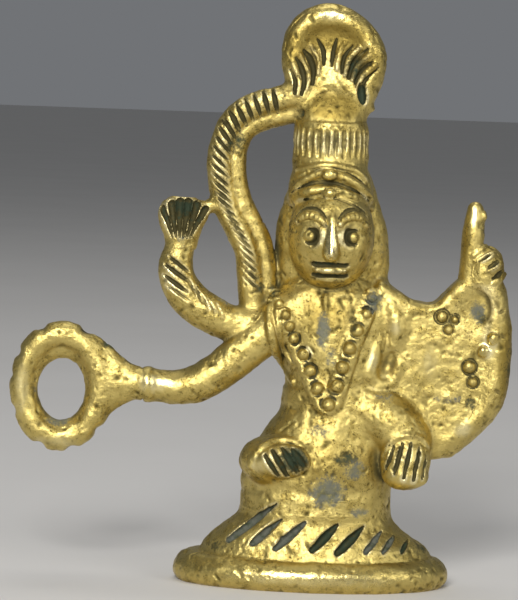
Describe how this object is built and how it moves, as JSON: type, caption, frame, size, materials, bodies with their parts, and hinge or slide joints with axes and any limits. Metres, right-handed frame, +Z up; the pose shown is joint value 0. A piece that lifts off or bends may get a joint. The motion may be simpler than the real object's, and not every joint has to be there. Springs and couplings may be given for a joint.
{
  "type": "cast brass seated idol",
  "caption": "Small cast brass idol of a seated, hooded and crowned figure on an oval foot, one arm ending in a scalloped ring, others holding a lotus and a serpent loop.",
  "frame": {"origin": "centre of the oval foot's underside, on the surface that the idol stands on", "axes": "+Z up through the crown, the figure faces -Y, and +X is towards the raised open hand"},
  "size_m": [0.0499, 0.0152, 0.0579],
  "materials": {
    "cast_brass": "rough as-cast skin with olive patina in the hollows",
    "bright_brass": "raised places rubbed bright by handling",
    "dark_brass": "cut and punched detail that holds dark green-black patina"
  },
  "bodies": {
    "root": {"foot_disc": "bright_brass", "leaf_mound": "cast_brass", "lap": "cast_brass", "bent_knee": "cast_brass", "hatched_foot": "dark_brass", "far_thigh": "cast_brass", "toe_foot": "cast_brass", "torso": "cast_brass", "garland": "cast_brass", "necklace_tongue": "bright_brass", "necklace_beads": "dark_brass", "shoulder_ridge": "cast_brass", "sash_loop": "cast_brass", "ring_arm": "cast_brass", "wrist_bangle": "bright_brass", "ring_hand": "cast_brass", "scallop_ring": "cast_brass", "lotus_arm": "cast_brass", "lotus_bud": "dark_brass", "bud_bridge": "cast_brass", "serpent_loop": "cast_brass", "hair_veil": "dark_brass", "head": "cast_brass", "nose": "bright_brass", "eyes": "dark_brass", "eyebrows": "dark_brass", "lips": "bright_brass", "turban_folds": "cast_brass", "forehead_jewels": "bright_brass", "crown_band": "cast_brass", "crown_drum": "cast_brass", "hood": "cast_brass", "hood_rim": "bright_brass", "hood_flutes": "dark_brass", "wing_web": "cast_brass", "blessing_forearm": "cast_brass", "blessing_palm": "cast_brass", "blessing_thumb": "cast_brass", "blessing_fingers": "bright_brass", "elbow_boss": "bright_brass", "rosettes": "dark_brass"}
  },
  "joints": []
}
